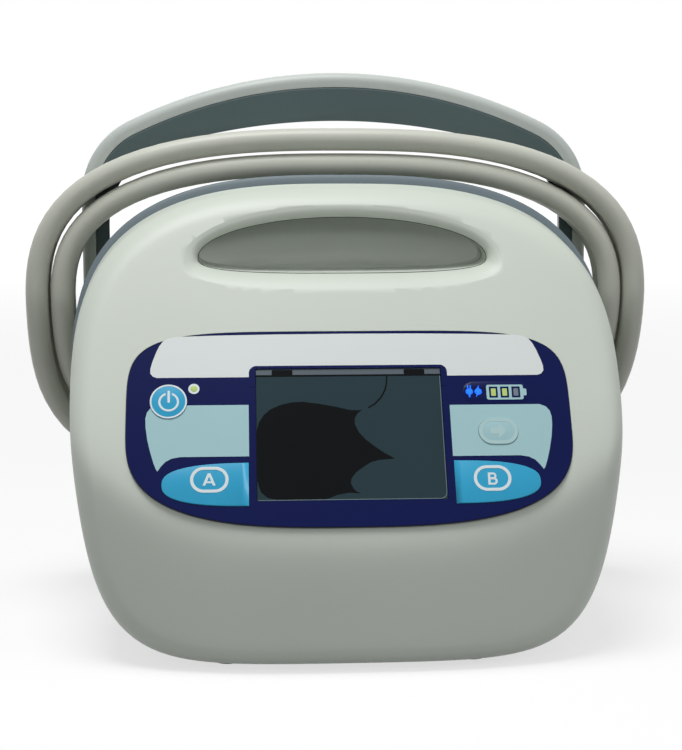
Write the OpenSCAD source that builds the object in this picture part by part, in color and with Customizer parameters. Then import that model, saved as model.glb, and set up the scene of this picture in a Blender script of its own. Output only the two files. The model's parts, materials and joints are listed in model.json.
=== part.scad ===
// Bedside compression therapy pump: wedge housing with a leaning key panel, a through handle,
// a swinging bed hook behind it, and a mains lead wound over the channel between the two.
// Axes: X to the right, front face towards -Y, Z up, origin under the middle of the housing on the table.

/* [Housing] */
// Half of the housing width at the grey band
body_half_w = 98; // [94:1:104]
// Height of the widest level above the table
wide_z = 90; // [86:1:94]
// Height of the white shell at its top
shell_top = 160.8; // [158:0.2:164]
// Height of the flat underside above the table
floor_z = 2; // [1.5:0.5:4]
// Furthest forward Y of the leaning plane and the lower face
front_y = -58; // [-60:0.5:-56]
// Furthest back Y of the housing
back_y = 57; // [56:0.5:60]
// Wall of the moulded shells
wall = 2.5; // [2:0.1:3]
// Radius of the front edge all round
edge_r = 7.5; // [6:0.5:9]
// Lean of the key panel back from upright
lean = 33; // [31:0.5:35]
// Height of the crease under the key panel
crease_z = 46; // [43:1:49]
// Lean of the joint between the front shell and the rear housing
parting_lean = 15; // [12:0.5:18]
// Y of that joint at the top of the shell
parting_y = 25; // [24:0.5:26]
// Width of the grey grip band, front to back
band_w = 3.6; // [3:0.2:4]
// How far the band stands above the shell at the top
band_rise = 3.2; // [2.5:0.1:4]
// How far the band reaches into the housing
band_in = 7; // [6:0.5:8]

/* [Handle opening] */
// Half of the opening width
slot_half_w = 52; // [46:1:56]
// Height of the widest level of the opening
slot_z = 135; // [134:0.5:136]
// Height of the opening above that level
slot_up = 14; // [12:0.5:14.5]
// Depth of the opening below that level
slot_down = 5.6; // [4.5:0.1:6]
// Radius of the soft flare into the opening
flare_r = 6; // [4:0.5:7]

/* [Key panel] */
// Half width of the printed overlay
panel_half_w = 75.8; // [74:0.2:77]
// Distance of the overlay centre up the slope from the crease
panel_mid = 41; // [40:0.5:42]
// Half height of the overlay along the slope
panel_half_h = 36; // [34:0.5:36.5]
// Overlay thickness
overlay_t = 0.8; // [0.5:0.1:1]
// Display window width
window_w = 63.8; // [60:0.2:66]
// Display window height along the slope
window_h = 48.4; // [44:0.2:49]
// Distance of the window centre up the slope
window_mid = 38.6; // [38:0.2:39]
// Power key diameter
power_d = 12.6; // [10:0.2:13.4]
// Travel of every key
key_travel = 0.6; // [0.4:0.1:0.8]
// Gap round every key
key_gap = 0.3; // [0.25:0.05:0.4]

/* [Hook] */
// Height of the hook's crown
hook_top = 202; // [198:1:206]
// Half width over the arms
hook_half_w = 97; // [95:0.5:98]
// Radius of the crown arc
crown_r = 180; // [160:5:200]
// Radius of the shoulder arcs
shoulder_r = 32; // [28:1:36]
// Thickness of the outer lip
lip_t = 5.4; // [4.6:0.2:6]
// Height of the inner edge at the middle
inner_top = 184.6; // [183:0.2:186]
// Radius of the inner crown arc
inner_r = 230; // [210:5:250]
// Radius of the inner shoulder arcs
inner_shoulder_r = 32; // [28:1:36]
// Width of each arm
arm_w = 10; // [9:0.5:12]
// Y of the hook's front face
hook_y = 47.8; // [47.4:0.1:48.4]
// Depth of the hook, front to back
hook_depth = 9.2; // [8:0.2:10]
// Thickness of the dark grip pad
pad_t = 3.6; // [3:0.2:5]
// Height of the pivots
pivot_z = 110; // [108:1:112]
// Y of the pivots
pivot_y = 48.6; // [48:0.2:50]
// Pivot pin diameter
pin_d = 7; // [6:0.5:8]
// Radial running clearance of the pins
pin_gap = 0.05; // [0.03:0.01:0.09]

/* [Air ports] */
// Bore of each tubing port
port_bore = 9.4; // [8:0.2:10]
// Depth of the bore
port_depth = 16; // [14:1:17]
// Distance of each port from the middle
port_x = 30; // [26:1:34]
// Height of the ports
port_z = 98; // [96:1:102]

/* [Mains lead] */
// Cord diameter
cord_d = 8.4; // [7:0.2:8.6]
// Distance from turn to turn
turn_pitch = 9.3; // [9.2:0.1:9.5]

/* [Hidden] */

// --- colours, as the photograph shows them
white_c = [0.86, 0.88, 0.84];
grey_c = [0.40, 0.45, 0.47];
light_grey_c = [0.70, 0.73, 0.71];
dark_c = [0.24, 0.29, 0.30];
navy_c = [0.07, 0.12, 0.35];
blue_c = [0.20, 0.64, 0.80];
pale_c = [0.63, 0.78, 0.80];
cord_c = [0.60, 0.61, 0.55];
board_c = [0.10, 0.40, 0.22];
metal_c = [0.75, 0.75, 0.76];
black_c = [0.10, 0.10, 0.11];
play = 0.05;

// --- outline of the housing seen from the front, a superellipse that tapers below its widest level
ring_n = 56;
inner_n = 40;
top_power = 2.85;
base_power = 6.2;
taper = 0.123;
taper_power = 1.6;
draft = 0.8;
shell_half_w = body_half_w - 1.5;
band_top = shell_top + band_rise;
base_drop = wide_z - floor_z + 0.3;
rear_half_w = 84;
function polar(a, n) = 1 / pow(pow(abs(cos(a)), n) + pow(abs(sin(a)), n), 1 / n);
function outline_pt(a, half_w, top, inset = 0) =
    let (up = sin(a) >= 0, r = polar(a, up ? top_power : base_power), rise = up ? top - wide_z : base_drop,
        t = abs(sin(a)) * r)
    [(half_w - inset) * cos(a) * r * (up ? 1 : 1 - taper * pow(t, taper_power)),
        wide_z + sin(a) * r * (rise - inset)];

// --- front surface: a leaning plane that turns through a soft crease into the bowed lower face
crease_soft = 5;
bow_at = 83.4;
bow_depth = 13.3;
undercut = 2;
function lean_y(z) = front_y + (z - crease_z) * tan(lean);
function low_y(x, z) = front_y + bow_depth * pow(abs(x) / bow_at, 3) + (crease_z - z) * tan(undercut);
function face_y(x, z) =
    let (a = lean_y(z), b = low_y(x, z)) (a + b + sqrt(pow(a - b, 2) + pow(crease_soft, 2))) / 2;
function parting(z) = parting_y - (shell_top - z) * tan(parting_lean);

// --- a closed skin through rings of points, with a fan at each end
function ring_mid(r) = [for (k = [0:2]) (max([for (p = r) p[k]]) + min([for (p = r) p[k]])) / 2];
function side_faces(m, n) = [for (i = [0:m - 2]) for (j = [0:n - 1])
    let (a = i * n + j, b = i * n + (j + 1) % n, c = a + n, d = b + n) each [[a, d, b], [a, c, d]]];
module loft(rings) {
    n = len(rings[0]);
    m = len(rings);
    caps = [for (j = [0:n - 1]) each [[j, (j + 1) % n, m * n], [(m - 1) * n + (j + 1) % n, (m - 1) * n + j, m * n + 1]]];
    polyhedron(concat([for (r = rings) each r], [ring_mid(rings[0]), ring_mid(rings[m - 1])]),
        concat(side_faces(m, n), caps));
}
function spin(n) = [for (j = [0:n - 1]) j * 360 / n];

// --- front mass of the housing, from the back plane to the middle of the front face
function skin_ring(deep, inset, r, phi, n) = [for (a = spin(n))
    let (q = outline_pt(a, shell_half_w - draft, shell_top - draft, inset + r * (1 - cos(phi))))
    [q[0], face_y(q[0], q[1]) + deep + r * (1 - sin(phi)), q[1]]];
function face_ring(deep, inset, s, n) = [for (a = spin(n))
    let (q = outline_pt(a, shell_half_w - draft, shell_top - draft, inset), x = q[0] * s,
        z = wide_z + (q[1] - wide_z) * s)
    [x, face_y(x, z) + deep, z]];
function flat_ring(half_w, top, inset, y, n) = [for (a = spin(n))
    let (q = outline_pt(a, half_w, top, inset)) [q[0], y, q[1]]];
module front_mass(deep, inset, r, n, step) {
    loft(concat([flat_ring(shell_half_w, shell_top, inset, back_y - 10, n)],
        [for (phi = [0:step:90]) skin_ring(deep, inset, r, phi, n)],
        [for (s = [0.86, 0.72, 0.58, 0.44, 0.22]) face_ring(deep, inset + r, s, n)]));
}

// --- everything behind the leaning joint plane, moved back by shift
module behind_parting(shift = 0) {
    translate([0, parting_y + shift, shell_top]) rotate([-parting_lean, 0, 0])
        translate([-150, 0, -300]) cube([300, 200, 500]);
}

// --- handle opening, run straight through along Y
slot_n = 44;
function slot_pt(a, grow) =
    let (up = sin(a) >= 0, r = polar(a, up ? 2 : 3))
    [(slot_half_w + grow) * cos(a) * r, slot_z + sin(a) * r * ((up ? slot_up : slot_down) + grow)];
function slot_ring(grow, deep) = [for (a = spin(slot_n)) let (q = slot_pt(a, grow)) [q[0], lean_y(q[1]) + deep, q[1]]];
function slot_flat(grow, y) = [for (a = spin(slot_n)) let (q = slot_pt(a, grow)) [q[0], y, q[1]]];
module slot_tunnel(grow, y_to = 70) { loft([slot_flat(grow, y_to), slot_flat(grow, -36)]); }
module slot_cut() {
    loft(concat([slot_flat(0, 70)],
        [for (phi = [90:-18:18]) slot_ring(flare_r * (1 - sin(phi)), flare_r * (1 - cos(phi)))],
        [slot_ring(flare_r, -0.1 * flare_r), slot_ring(flare_r + 2, -14)]));
}

// --- key panel coordinates: X across, Y up the slope from the crease, Z out of the face
module on_panel() { translate([0, front_y, crease_z]) rotate([90 - lean, 0, 0]) children(); }
panel_n = 72;
function panel_pt(a, grow) =
    let (r = polar(a, sin(a) >= 0 ? 5.2 : 3))
    [(panel_half_w + grow) * cos(a) * r, panel_mid + (panel_half_h + grow) * sin(a) * r];
module panel_2d(grow = 0) { polygon([for (a = spin(panel_n)) panel_pt(a, grow)]); }
module window_2d(grow = 0) {
    translate([-window_w / 2 - grow, window_mid - window_h / 2 - grow])
        square([window_w + 2 * grow, window_h + 2 * grow]);
}
// side key: a half superellipse, straight beside the display and round outside
side_key_x = 34.6;
side_key_y = 20.3;
side_key_len = 29;
side_key_h = 15.4;
function side_key_pts(grow) = concat([for (a = [-90:9:90]) let (r = polar(a, 2.6))
    [-side_key_x - (side_key_len + grow) * cos(a) * r, side_key_y + (side_key_h / 2 + grow) * sin(a) * r]],
    [[-side_key_x + grow, side_key_y + side_key_h / 2 + grow], [-side_key_x + grow, side_key_y - side_key_h / 2 - grow]]);
module side_key_2d(grow = 0) { polygon(side_key_pts(grow)); }
next_x = 50.5;
next_y = 38.6;
next_w = 13.6;
next_h = 9.8;
module next_key_2d(grow = 0) {
    r = next_h / 2 + grow;
    for (s = [-1, 1]) translate([next_x + s * (next_w - next_h) / 2, next_y]) circle(r, $fn = 32);
    translate([next_x - (next_w - next_h) / 2, next_y - r]) square([next_w - next_h, 2 * r]);
}
power_x = -61.6;
power_y = 50.7;
led_x = -53;
led_y = 55.3;
led_d = 3.4;
cell_x = 48.6;
cell_pitch = 3.9;
cell_y = 53.2;
cell_w = 2.9;
cell_h = 3.7;
icon_x = [41.5, 44.6];
icon_y = 53.6;
icon_d = 2.4;
module status_2d(grow = 0) { translate([led_x, led_y]) circle(led_d / 2 + grow, $fn = 24); }
module icons_2d(grow = 0) { for (x = icon_x) translate([x, icon_y]) circle(icon_d / 2 + grow, $fn = 24); }
module cells_2d(grow = 0) {
    for (k = [0:2]) translate([cell_x + k * cell_pitch - grow, cell_y - cell_h / 2 - grow])
        square([cell_w + 2 * grow, cell_h + 2 * grow]);
}
module keys_2d(grow = 0) {
    translate([power_x, power_y]) circle(power_d / 2 + grow, $fn = 36);
    side_key_2d(grow);
    mirror([1, 0]) side_key_2d(grow);
    next_key_2d(grow);
}

// --- planes behind the face, measured outwards from it
key_top = 0.4;
flange_top = -3.5;
flange_t = 0.8;
stem_end = -5;
stem_d = 4;
board_top = -7;
board_t = 1.6;
standoff_l = 7;
main_top = board_top - board_t - standoff_l;
sheet_t = 0.5;
dome_h = stem_end - key_travel - 0.1 - board_top;
board_post = [[-65, 35.5], [65, 33], [-65, 65], [65, 62]];
post_d = 7;
lcd_w = 68;
lcd_h = 52;

// --- screws that join the two shells, driven from the back
case_screw = [[-72, 36], [72, 36], [-88, 92], [88, 92]];
case_boss_d = 9;
case_screw_d = 3.6;
case_boss_l = [29, 29, 26, 26];
module tapered_boss(d, len) {
    hull() {
        cylinder(0.2, d = d + 1.2, $fn = 24);
        translate([0, 0, len - 0.2]) cylinder(0.2, d = d, $fn = 24);
    }
}

module front_shell() color(white_c) difference() {
    union() {
        difference() {
            front_mass(0, 0, edge_r, ring_n, 22.5);
            front_mass(wall / cos(lean), wall, edge_r - wall, inner_n, 45);
        }
        // collar round the handle opening, back to the joint
        intersection() {
            difference() {
                slot_tunnel(wall);
                slot_tunnel(-1);
            }
            front_mass(1.2, 1.2, edge_r - 1.2, inner_n, 45);
        }
        // posts that carry the key board
        for (p = board_post) on_panel() translate([p[0], p[1], -1.8]) mirror([0, 0, 1]) tapered_boss(post_d, -1.8 - board_top);
        // bosses for the case screws
        intersection() {
            for (k = [0:3]) translate([case_screw[k][0], parting(case_screw[k][1]) + 4, case_screw[k][1]])
                rotate([90, 0, 0]) tapered_boss(case_boss_d, case_boss_l[k] + 14);
            front_mass(1.2, 1.2, edge_r - 1.2, inner_n, 45);
        }
    }
    behind_parting();
    slot_cut();
    translate([-150, -150, -50]) cube([300, 300, 50 + floor_z]);
    on_panel() {
        translate([0, 0, -overlay_t]) linear_extrude(10) panel_2d(0.2);
        translate([0, 0, -wall - 1.4]) linear_extrude(10) window_2d(0.4);
        translate([0, 0, -wall - 3.2]) linear_extrude(10) keys_2d(key_gap);
        // room for the rims of the side keys to travel
        for (x = [-58, 37.5]) translate([x - 0.3, side_key_y + 0.2, -8]) cube([21.1, 9.2, 8 + flange_top + 0.1]);
        translate([0, 0, -wall - 1.4]) linear_extrude(10) {
            status_2d(0.15);
            icons_2d(0.15);
            cells_2d(0.15);
        }
        for (p = board_post) translate([p[0], p[1], board_top - 1]) cylinder(5, d = 2.6, $fn = 24);
    }
    for (p = case_screw) translate([p[0], parting(p[1]) + 5, p[1]]) rotate([90, 0, 0]) cylinder(22, d = case_screw_d + 2 * play, $fn = 24);
}

// grip band: one closed loop of rounded section, sandwiched between the shells
band_prof = [[-1, 0], [-1, 0.82], [-0.6, 1], [0.6, 1], [1, 0.82], [1, 0]];
module grip_band() color(grey_c) {
    n = 72;
    m = len(band_prof);
    pts = [for (a = spin(n)) for (b = band_prof)
        let (q = outline_pt(a, body_half_w, band_top, band_in * (1 - b[1])), z = max(q[1], floor_z + 0.1 + 3 * (1 - b[1])))
        [q[0], parting(z) + band_w / 2 + b[0] * (band_w / 2 - 0.05), z]];
    faces = [for (i = [0:n - 1]) for (j = [0:m - 1])
        let (a = i * m + j, b = i * m + (j + 1) % m, c = ((i + 1) % n) * m + j, d = ((i + 1) % n) * m + (j + 1) % m)
        each [[a, d, b], [a, c, d]]];
    polyhedron(pts, faces);
}

// --- rear housing: a flange behind the band, then a narrower waist whose top dips for the cord and fingers
flange_back = 29.4;
deck_z = 130;
ridge_z = 152;
back_r = 7;
waist_rows = [[26, 0], [31, 0], [35.5, 0.14], [39, 0.45], [42, 0.79], [44.3, 0.96], [46.1, 1]];
module rear_mass(inset, n) {
    loft(concat([for (phi = [90:-30:0])
            flat_ring(rear_half_w, ridge_z, inset + back_r * (1 - cos(phi)), back_y - 1 - inset - back_r * (1 - sin(phi)), n)],
        [for (k = [len(waist_rows) - 1:-1:0]) let (w = waist_rows[k])
            flat_ring(rear_half_w, deck_z + (ridge_z - deck_z) * w[1], inset, w[0], n)]));
}
module flange_mass(inset, top, back, n) {
    loft([flat_ring(body_half_w - 1.6, top, inset, back, n), flat_ring(body_half_w - 1.6, top, inset, -40, n)]);
}
// battery bay in the floor, closed by a door from below
bay_x = [-19, 47];
bay_y = [0, 36];
door_t = 2.2;
shelf_z = 11;
door_lip = 3.5;
door_tab = 11;
bay_screw = [52.5, 18];
rear_boss = [[26, 42], [68, 42], [26, 76], [68, 76]];
speaker_x = -54;
speaker_z = 46;
inlet_x = -8;
pin_boss_d = 14.5;
pin_turn = 8;
head_room = 7.2;
boss_turn = 8;
head_turn = 3;
inlet_z = 20;
module from_back(x, y, z) { translate([x, y, z]) rotate([90, 0, 0]) children(); }
module rear_housing() color(white_c) difference() {
    union() {
        flange_mass(0, shell_top - 1, flange_back, ring_n);
        rear_mass(0, ring_n);
    }
    difference() {
        union() {
            flange_mass(wall, deck_z - 1, flange_back - wall, inner_n);
            rear_mass(wall, inner_n);
        }
        // bosses for the case screws and the power supply
        for (p = case_screw) from_back(p[0], flange_back + 4, p[1]) rotate([0, 0, boss_turn]) tapered_boss(case_boss_d + 1, 60);
        for (p = rear_boss) from_back(p[0], back_y - 2, p[1]) rotate([0, 0, boss_turn]) tapered_boss(6, 6);
        // ring that holds the speaker
        from_back(speaker_x, back_y - 2, speaker_z) difference() {
            tapered_boss(33, 5.4);
            translate([0, 0, wall - 0.5]) cylinder(9, d = 30.4, $fn = 32);
        }
        // bosses for the pivot pins
        for (s = [-1, 1]) translate([s * (rear_half_w - 7), pivot_y, pivot_z]) rotate([0, 90, 0]) rotate([0, 0, pin_turn]) cylinder(16, d = pin_boss_d, center = true, $fn = 28);
        // level shelf under the compressor
        translate([comp_x - 21, comp_y - 20, 0]) cube([40, 40, shelf_z]);
        // walls of the battery bay
        difference() {
            translate([bay_x[0] - door_lip - 2, bay_y[0] - door_lip - 2, 0]) cube([bay_x[1] - bay_x[0] + door_lip + door_tab + 4, bay_y[1] - bay_y[0] + 2 * door_lip + 4, 8]);
            translate([bay_x[0], bay_y[0], -1]) cube([bay_x[1] - bay_x[0], bay_y[1] - bay_y[0], 20]);
        }
    }
    // everything in front of the band's back face
    difference() {
        translate([-150, -150, -10]) cube([300, 300, 300]);
        behind_parting(band_w);
    }
    slot_tunnel(0, flange_back + 2);
    translate([-150, -150, -50]) cube([300, 300, 50 + floor_z]);
    translate([bay_x[0] - door_lip, bay_y[0] - door_lip, -10])
        cube([bay_x[1] - bay_x[0] + door_lip + door_tab, bay_y[1] - bay_y[0] + 2 * door_lip, 10 + floor_z + door_t + 0.1]);
    translate([bay_x[0], bay_y[0], -10]) cube([bay_x[1] - bay_x[0], bay_y[1] - bay_y[0], 20]);
    translate([bay_screw[0], bay_screw[1], 0]) cylinder(7.4, d = 2.6 + 2 * play, $fn = 24);
    // holes for the ports, the pivot pins, the lead, the screws and the sound
    for (s = [-1, 1]) {
        from_back(s * port_x, back_y + 5, port_z) cylinder(12, d = port_bore + 5.6, $fn = 32);
        translate([s * rear_half_w, pivot_y, pivot_z]) rotate([0, 90, 0]) rotate([0, 0, pin_turn]) cylinder(24, d = pin_d + 2 * play, center = true, $fn = 28);
    }
    from_back(inlet_x, back_y + 5, inlet_z) cylinder(12, d = 12.4, $fn = 32);
    for (p = case_screw) {
        from_back(p[0], flange_back + 30, p[1]) rotate([0, 0, head_turn]) cylinder(90, d = case_screw_d + 0.4, $fn = 24);
        from_back(p[0], flange_back + 40, p[1]) rotate([0, 0, head_turn]) cylinder(50, d = head_room, $fn = 24);
    }
    for (p = rear_boss) from_back(p[0], back_y - 4, p[1]) cylinder(6, d = 2.6 + 2 * play, $fn = 24);
    for (k = [-2:2]) translate([speaker_x - 8, back_y - wall - 2, speaker_z + k * 4 - 0.8]) cube([16, 9, 1.6]);
}

// --- the panel and its keys
module panel_overlay() color(navy_c) on_panel() translate([0, 0, -overlay_t + 0.02]) linear_extrude(overlay_t) difference() {
    panel_2d();
    window_2d(0.1);
    keys_2d(key_gap);
    status_2d(0.15);
    icons_2d(0.15);
    cells_2d(0.15);
}
module display_window() color([0.12, 0.17, 0.20]) on_panel() translate([0, 0, -1.6]) linear_extrude(1.2) window_2d(-0.1);
module lcd_module() color([0.25, 0.28, 0.30]) on_panel() {
    translate([0, window_mid, board_top + 0.05]) {
        translate([-lcd_w / 2, -lcd_h / 2, 0]) cube([lcd_w, lcd_h, -wall - 1.6 - board_top]);
        translate([-window_w / 2 + 0.4, -window_h / 2 + 0.4, 0]) cube([window_w - 0.8, window_h - 0.8, -1.72 - board_top]);
    }
}
// a key cap with a hidden rim that keeps it in, and a stem over its dome
module key_cap(x, y) {
    difference() {
        union() {
            translate([0, 0, flange_top - 0.1]) linear_extrude(key_top - flange_top + 0.1) children(0);
            translate([0, 0, flange_top - flange_t]) linear_extrude(flange_t) children(1);
        }
    }
    translate([x, y, stem_end]) cylinder(-stem_end + flange_top - flange_t + 0.2, d = stem_d, $fn = 24);
}
module power_button() color(blue_c) on_panel() key_cap(power_x, power_y) {
    translate([power_x, power_y]) circle(d = power_d, $fn = 48);
    translate([power_x, power_y]) circle(d = power_d + 2, $fn = 48);
}
module a_button() color(blue_c) on_panel() key_cap(-47.7, 21.5) {
    side_key_2d();
    translate([-58, side_key_y + 0.5]) square([20.5, 8.6]);
}
module b_button() color(blue_c) on_panel() key_cap(47.3, 21.5) {
    mirror([1, 0]) side_key_2d();
    translate([37.5, side_key_y + 0.5]) square([20.5, 8.6]);
}
module next_button() color(pale_c) on_panel() key_cap(next_x, next_y) {
    next_key_2d();
    next_key_2d(1);
}
module status_led() color([0.76, 0.84, 0.45]) on_panel() translate([0, 0, board_top]) linear_extrude(0.1 - board_top) status_2d();
module battery_leds() color([0.72, 0.82, 0.35]) on_panel() translate([0, 0, board_top]) linear_extrude(-board_top) cells_2d();
module mains_leds() color([0.15, 0.45, 0.95]) on_panel() translate([0, 0, board_top]) linear_extrude(-board_top) icons_2d();
module key_domes() color([0.75, 0.75, 0.70]) on_panel() translate([0, 0, board_top]) {
    linear_extrude(sheet_t) difference() {
        union() {
            translate([-71, 44]) square([28, 16]);
            translate([-61, 11]) square([122, 15]);
            translate([43, 24]) square([15, 22]);
        }
        translate([-lcd_w / 2 - 0.5, window_mid - lcd_h / 2 - 0.5]) square([lcd_w + 1, lcd_h + 1]);
        status_2d(0.3);
    }
    for (p = [[power_x, power_y], [-47.7, 21.5], [47.3, 21.5], [next_x, next_y]])
        translate([p[0], p[1], 0]) cylinder(dome_h, d1 = 8, d2 = 5, $fn = 24);
}
module ui_board() color(board_c) on_panel() translate([0, 0, board_top - board_t - play]) linear_extrude(board_t) difference() {
    union() {
        translate([-70, 30]) square([140, 40]);
        translate([-62, 11]) square([124, 20]);
    }
    for (p = board_post) translate([p[0], p[1]]) circle(d = 2.8, $fn = 24);
}
module main_board() {
    color(board_c) on_panel() translate([0, 0, main_top - board_t - 3 * play]) linear_extrude(board_t) difference() {
        translate([-70, 29]) square([140, 41]);
        for (p = board_post) translate([p[0], p[1]]) circle(d = 2.8, $fn = 24);
    }
    // processor, converters and connectors on its rear face
    color(black_c) on_panel() translate([0, 0, main_top - board_t - 3 * play]) mirror([0, 0, 1]) {
        translate([-10, 44, -0.1]) cube([16, 16, 1.6]);
        translate([-40, 50, -0.1]) cube([10, 8, 3]);
        translate([-56, 36, -0.1]) cube([18, 6, 6]);
        translate([36, 50, -0.1]) cube([14, 6, 7]);
        translate([20, 36, -0.1]) cube([9, 9, 4]);
        for (x = [-22, -28, 44, 52]) translate([x, 40, -0.1]) cylinder(7, d = 5, $fn = 24);
    }
}
module board_standoffs() color(metal_c) on_panel() for (p = board_post) translate([p[0], p[1], main_top - 2 * play]) difference() {
    union() {
        cylinder(standoff_l, d = 5.6, $fn = 6);
        cylinder(standoff_l + board_t + 3, d = 2.5, $fn = 24);
    }
    translate([0, 0, -1]) cylinder(6, d = 2.1, $fn = 24);
}
module board_screws() color(metal_c) on_panel() for (p = board_post) translate([p[0], p[1], main_top - board_t - 4 * play]) {
    translate([0, 0, -1.8]) cylinder(1.8, d = 4.6, $fn = 32);
    cylinder(board_t + 4, d = 2, $fn = 24);
}

// --- air side: compressor on rubber mounts, manifold between the ports, valves, tube and sensor
comp_x = -44;
comp_y = 18;
comp_z = 15.5;
module rubber_mounts() color(black_c) for (x = [-13, 13]) for (y = [-13, 13])
    translate([comp_x + x, comp_y + y, shelf_z + play]) cylinder(comp_z - shelf_z - play, d = 8, $fn = 32);
module compressor_motor() color([0.55, 0.56, 0.58]) {
    translate([comp_x - 20, comp_y - 19, comp_z]) cube([40, 38, 3]);
    translate([comp_x - 16, comp_y - 17, comp_z + 2.9]) cube([32, 34, 8]);
    translate([comp_x, comp_y + 19, comp_z + 22]) rotate([90, 0, 0]) cylinder(38, d = 34, $fn = 48);
    translate([comp_x, comp_y + 20.5, comp_z + 22]) rotate([90, 0, 0]) cylinder(41, d = 12, $fn = 32);
}
module compressor_head() color([0.20, 0.21, 0.23]) difference() {
    union() {
        translate([comp_x - 19, comp_y - 17, comp_z + 39.05]) cube([38, 34, 9]);
        for (k = [0:5]) translate([comp_x - 19, comp_y - 17 + k * 6.2, comp_z + 48]) cube([38, 2.6, 5]);
        translate([comp_x + 10, comp_y, comp_z + 48]) cylinder(9, d = 6, $fn = 32);
    }
    translate([comp_x + 10, comp_y, comp_z + 44]) cylinder(20, d = 3, $fn = 24);
}
man_y = 24;
man_d = 16;
man_z = port_z - 8;
module valve_manifold() color([0.80, 0.80, 0.78]) difference() {
    union() {
        translate([-44, man_y, man_z]) cube([88, man_d - play, 16]);
        translate([comp_x + 10, comp_y + 10, man_z + 4]) rotate([0, 0, 0]) translate([0, 0, -8]) cylinder(8, d = 6, $fn = 32);
        translate([comp_x + 6, man_y + 1, man_z + 2]) cube([10, 10, 10]);
    }
    for (s = [-1, 1]) from_back(s * port_x, man_y + man_d + 1, port_z) cylinder(8, d = 5, $fn = 24);
    translate([comp_x + 10, comp_y + 10, man_z - 10]) cylinder(14, d = 3, $fn = 24);
}
module solenoid_valves() color([0.25, 0.32, 0.45]) for (x = [-28, 0, 28]) translate([x, man_y + man_d / 2, man_z + 16.05]) {
    translate([-6, -6, 0]) cube([12, 12, 4]);
    translate([0, 0, 3.9]) cylinder(8, d = 11, $fn = 32);
}
module pressure_sensor() color(black_c) {
    translate([8, man_y + 3, man_z - 5.05]) cube([11, 10, 5]);
    translate([13.5, man_y + 8, man_z - 8]) cylinder(3.5, d = 3, $fn = 24);
}
tube_pts = [[comp_x + 10, comp_y, comp_z + 57.2], [comp_x + 10, comp_y, comp_z + 58.5], [comp_x + 10, comp_y + 2, comp_z + 61.5],
    [comp_x + 10, comp_y + 8, comp_z + 65], [comp_x + 10, comp_y + 10, comp_z + 68], [comp_x + 10, comp_y + 10, man_z - 4.1]];
module air_tube() color([0.80, 0.85, 0.86]) sweep(tube_pts, 2.6, 10);

// --- supply, battery and speaker
module power_supply() {
    color(board_c) difference() {
        translate([20, back_y - 10.4, 34]) cube([54, 1.6, 50]);
        for (p = rear_boss) from_back(p[0], back_y, p[1]) cylinder(20, d = 3, $fn = 24);
    }
    color([0.85, 0.75, 0.30]) translate([34, back_y - 32.3, 46]) cube([24, 22, 22]);
    color(black_c) {
        from_back(29, back_y - 10.3, 60) cylinder(20, d = 8, $fn = 32);
        from_back(65, back_y - 10.3, 60) cylinder(18, d = 9, $fn = 32);
        translate([36, back_y - 22.3, 74]) cube([20, 12, 7]);
        translate([56, back_y - 20.3, 35]) cube([14, 10, 4]);
    }
}
module supply_screws() color(metal_c) for (p = rear_boss) {
    from_back(p[0], back_y - 10.45, p[1]) cylinder(2, d = 5, $fn = 32);
    from_back(p[0], back_y - 5.4, p[1]) cylinder(5.2, d = 2.6, $fn = 24);
}
module battery_pack() color([0.20, 0.35, 0.60]) {
    translate([bay_x[0] + 0.4, bay_y[0] + 0.4, floor_z + door_t + 0.1]) cube([bay_x[1] - bay_x[0] - 0.8, bay_y[1] - bay_y[0] - 0.8, 21]);
    for (x = [-6, 2]) translate([x, 10, floor_z + door_t + 21]) cylinder(4, d = 4, $fn = 24);
}
module battery_door() color(light_grey_c) difference() {
    translate([bay_x[0] - door_lip + 0.2, bay_y[0] - door_lip + 0.2, floor_z])
        cube([bay_x[1] - bay_x[0] + door_lip + door_tab - 0.4, bay_y[1] - bay_y[0] + 2 * door_lip - 0.4, door_t]);
    translate([bay_screw[0], bay_screw[1], floor_z - 1]) cylinder(6, d = 3, $fn = 24);
    translate([bay_screw[0], bay_screw[1], floor_z - 0.01]) cylinder(1.2, d1 = 6, d2 = 5.4, $fn = 32);
    for (k = [0:3]) translate([-6 + k * 3, 8, floor_z - 0.4]) cube([1.4, 18, 1]);
}
module door_screw() color(metal_c) translate([bay_screw[0], bay_screw[1], floor_z + 0.1]) {
    difference() {
        cylinder(1, d = 5, $fn = 32);
        translate([-2, -0.4, -0.1]) cube([4, 0.8, 0.6]);
    }
    cylinder(5, d = 2.6, $fn = 24);
}
module speaker() color(black_c) from_back(speaker_x, back_y - wall - 1.5, speaker_z) {
    cylinder(4, d = 30, $fn = 48);
    translate([0, 0, 3.9]) cylinder(5, d = 18, $fn = 32);
}
module port(s) color(light_grey_c) from_back(s * port_x, back_y + 0.5, port_z) difference() {
    union() {
        cylinder(port_depth + 1, d = port_bore + 5.4, $fn = 48);
        cylinder(1.4, d = port_bore + 9, $fn = 48);
    }
    translate([0, 0, -1]) cylinder(port_depth + 1, d = port_bore, $fn = 48);
}
module port_a() { port(-1); }
module port_b() { port(1); }
module rubber_feet() color(black_c) for (p = [[-42, -38], [42, -38], [-42, 44], [42, 44]])
    translate([p[0], p[1], 0]) cylinder(floor_z, d = 10, $fn = 40);
module case_screws() color(metal_c) for (k = [0:3]) let (p = case_screw[k]) {
    from_back(p[0], flange_back - 7.5, p[1]) cylinder(2.4, d = 6.6, $fn = 32);
    from_back(p[0], flange_back - 8, p[1]) cylinder(flange_back - 8 - parting(p[1]) + 10, d = case_screw_d, $fn = 24);
}

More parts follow.
